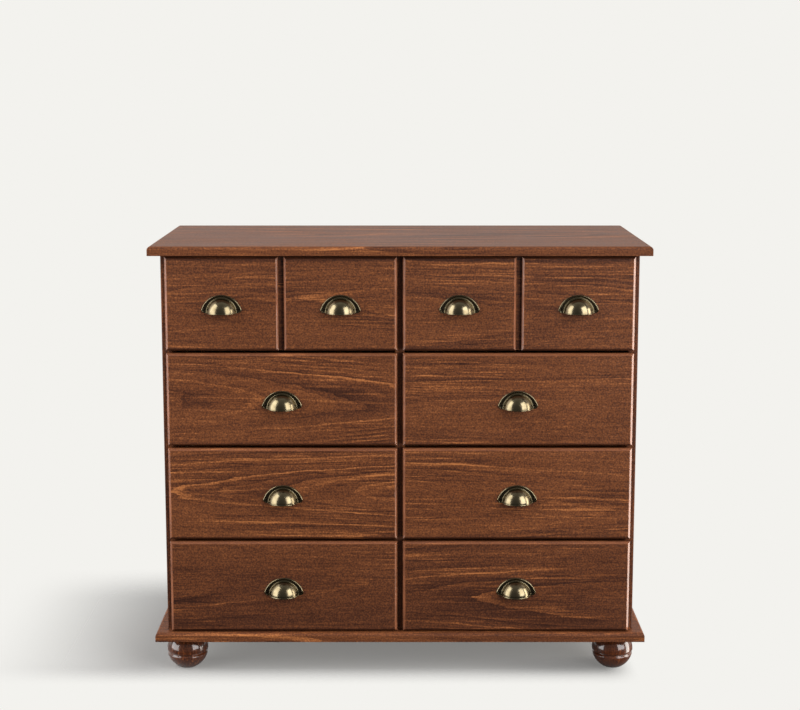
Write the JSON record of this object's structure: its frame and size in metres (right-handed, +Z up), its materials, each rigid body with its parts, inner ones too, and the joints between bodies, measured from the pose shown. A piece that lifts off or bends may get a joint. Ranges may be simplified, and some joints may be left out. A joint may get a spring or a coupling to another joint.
{
  "type": "chest of drawers",
  "caption": "Dark wooden chest of drawers in two columns, with overlay fronts, brass cup pulls, a moulded top and base and turned ball feet; every drawer slides on wooden runners.",
  "frame": {"origin": "on the floor, under the middle of the whole outline from the front of the pulls to the rear edge of the top", "axes": "+Z up, the drawer fronts face -Y, +X to the right seen from the front"},
  "size_m": [0.95, 0.417, 0.8402],
  "materials": {
    "dark_wood": "dark stained hardwood with a satin lacquer",
    "turned_wood": "darker stained turned hardwood with a glossy lacquer",
    "pale_wood": "bare planed softwood",
    "hardboard": "smooth brown hardboard",
    "aged_brass": "polished antique brass, greyed in its hollows",
    "dark_screw": "darkened brass"
  },
  "bodies": {
    "carcass": {"top_panel": "dark_wood", "base_panel": "dark_wood", "side_panel_left": "dark_wood", "side_panel_right": "dark_wood", "centre_partition": "dark_wood", "back_panel": "hardboard", "foot_front_left": "turned_wood", "foot_front_right": "turned_wood", "foot_rear_left": "turned_wood", "foot_rear_right": "turned_wood", "runners_left_bay": "pale_wood", "runners_right_bay": "pale_wood"},
    "drawer_1_left": {"drawer_1_left_front": "dark_wood", "drawer_1_left_sides": "pale_wood", "drawer_1_left_back": "pale_wood", "drawer_1_left_bottom": "hardboard", "drawer_1_left_pull": "aged_brass", "drawer_1_left_pull_screws": "dark_screw"},
    "drawer_2_left": {"drawer_2_left_front": "dark_wood", "drawer_2_left_sides": "pale_wood", "drawer_2_left_back": "pale_wood", "drawer_2_left_bottom": "hardboard", "drawer_2_left_pull": "aged_brass", "drawer_2_left_pull_screws": "dark_screw"},
    "drawer_3_left": {"drawer_3_left_front": "dark_wood", "drawer_3_left_sides": "pale_wood", "drawer_3_left_back": "pale_wood", "drawer_3_left_bottom": "hardboard", "drawer_3_left_pull": "aged_brass", "drawer_3_left_pull_screws": "dark_screw"},
    "drawer_4_left": {"drawer_4_left_front": "dark_wood", "drawer_4_left_sides": "pale_wood", "drawer_4_left_back": "pale_wood", "drawer_4_left_bottom": "hardboard", "drawer_4_left_pull": "aged_brass", "drawer_4_left_pull_screws": "dark_screw"},
    "drawer_1_right": {"drawer_1_right_front": "dark_wood", "drawer_1_right_sides": "pale_wood", "drawer_1_right_back": "pale_wood", "drawer_1_right_bottom": "hardboard", "drawer_1_right_pull": "aged_brass", "drawer_1_right_pull_screws": "dark_screw"},
    "drawer_2_right": {"drawer_2_right_front": "dark_wood", "drawer_2_right_sides": "pale_wood", "drawer_2_right_back": "pale_wood", "drawer_2_right_bottom": "hardboard", "drawer_2_right_pull": "aged_brass", "drawer_2_right_pull_screws": "dark_screw"},
    "drawer_3_right": {"drawer_3_right_front": "dark_wood", "drawer_3_right_sides": "pale_wood", "drawer_3_right_back": "pale_wood", "drawer_3_right_bottom": "hardboard", "drawer_3_right_pull": "aged_brass", "drawer_3_right_pull_screws": "dark_screw"},
    "drawer_4_right": {"drawer_4_right_front": "dark_wood", "drawer_4_right_sides": "pale_wood", "drawer_4_right_back": "pale_wood", "drawer_4_right_bottom": "hardboard", "drawer_4_right_pull": "aged_brass", "drawer_4_right_pull_screws": "dark_screw"}
  },
  "joints": [
    {"name": "drawer_1_left_slide", "type": "slide", "parent": "carcass", "child": "drawer_1_left", "axis": [0, -1, 0], "range_m": [0, 0.25]},
    {"name": "drawer_2_left_slide", "type": "slide", "parent": "carcass", "child": "drawer_2_left", "axis": [0, -1, 0], "range_m": [0, 0.25]},
    {"name": "drawer_3_left_slide", "type": "slide", "parent": "carcass", "child": "drawer_3_left", "axis": [0, -1, 0], "range_m": [0, 0.25]},
    {"name": "drawer_4_left_slide", "type": "slide", "parent": "carcass", "child": "drawer_4_left", "axis": [0, -1, 0], "range_m": [0, 0.25]},
    {"name": "drawer_1_right_slide", "type": "slide", "parent": "carcass", "child": "drawer_1_right", "axis": [0, -1, 0], "range_m": [0, 0.25]},
    {"name": "drawer_2_right_slide", "type": "slide", "parent": "carcass", "child": "drawer_2_right", "axis": [0, -1, 0], "range_m": [0, 0.25]},
    {"name": "drawer_3_right_slide", "type": "slide", "parent": "carcass", "child": "drawer_3_right", "axis": [0, -1, 0], "range_m": [0, 0.25]},
    {"name": "drawer_4_right_slide", "type": "slide", "parent": "carcass", "child": "drawer_4_right", "axis": [0, -1, 0], "range_m": [0, 0.25]}
  ]
}
